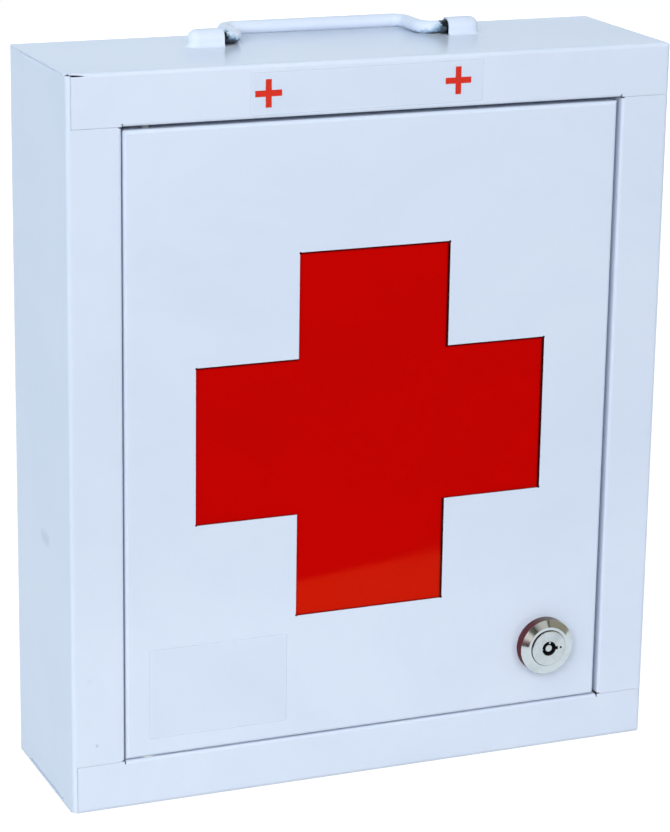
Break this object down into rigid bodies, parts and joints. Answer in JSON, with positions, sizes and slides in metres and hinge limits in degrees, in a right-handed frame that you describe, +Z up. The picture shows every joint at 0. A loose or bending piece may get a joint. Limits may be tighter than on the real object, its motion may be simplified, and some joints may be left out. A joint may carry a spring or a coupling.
{
  "type": "lockable first-aid cabinet",
  "caption": "Shallow sheet-steel cabinet with an inset locking door, a red cross window, inner shelves and a folding bail handle on top.",
  "frame": {"origin": "middle of the case's bottom face", "axes": "+X to the lock side seen from the front, +Y towards the wall, +Z up"},
  "size_m": [0.26, 0.0815, 0.312],
  "materials": {
    "white_paint": "gloss white powder coat",
    "red_window": "gloss red acrylic",
    "chrome_plate": "bright chrome plate",
    "zinc_plate": "zinc-plated steel",
    "nylon": "natural nylon"
  },
  "bodies": {
    "cabinet": {"wrapper_shell": "white_paint", "left_side_panel": "white_paint", "back_panel": "white_paint", "upper_shelf": "white_paint", "lower_shelf": "white_paint", "upper_shelf_brackets": "white_paint", "lower_shelf_brackets": "white_paint", "upper_hinge_pin": "zinc_plate", "lower_hinge_pin": "zinc_plate", "pivot_washer": "nylon"},
    "door": {"door_panel": "white_paint", "upper_pivot_plate": "zinc_plate", "lower_pivot_plate": "zinc_plate", "window_sheet": "red_window", "window_studs": "zinc_plate", "window_washers": "zinc_plate", "window_nuts": "zinc_plate", "lock_barrel": "chrome_plate", "lock_washer": "zinc_plate", "lock_nut": "zinc_plate"},
    "lock": {"lock_plug": "chrome_plate", "tumbler_pins": "chrome_plate", "cam_stop_washer": "zinc_plate", "lock_cam": "zinc_plate", "cam_screw": "zinc_plate"},
    "handle": {"carry_handle": "white_paint"}
  },
  "joints": [
    {"name": "door_hinge", "type": "hinge", "parent": "cabinet", "child": "door", "pos_m": [-0.097, -0.0325, 0.1514], "axis": [0, 0, -1], "range_deg": [0, 120]},
    {"name": "lock_turn", "type": "hinge", "parent": "door", "child": "lock", "pos_m": [0.081, -0.0371, 0.0475], "axis": [0, 1, 0], "range_deg": [0, 90]},
    {"name": "handle_swing", "type": "hinge", "parent": "cabinet", "child": "handle", "pos_m": [0, 0.0105, 0.30795], "axis": [1, 0, 0], "range_deg": [0, 180]}
  ]
}
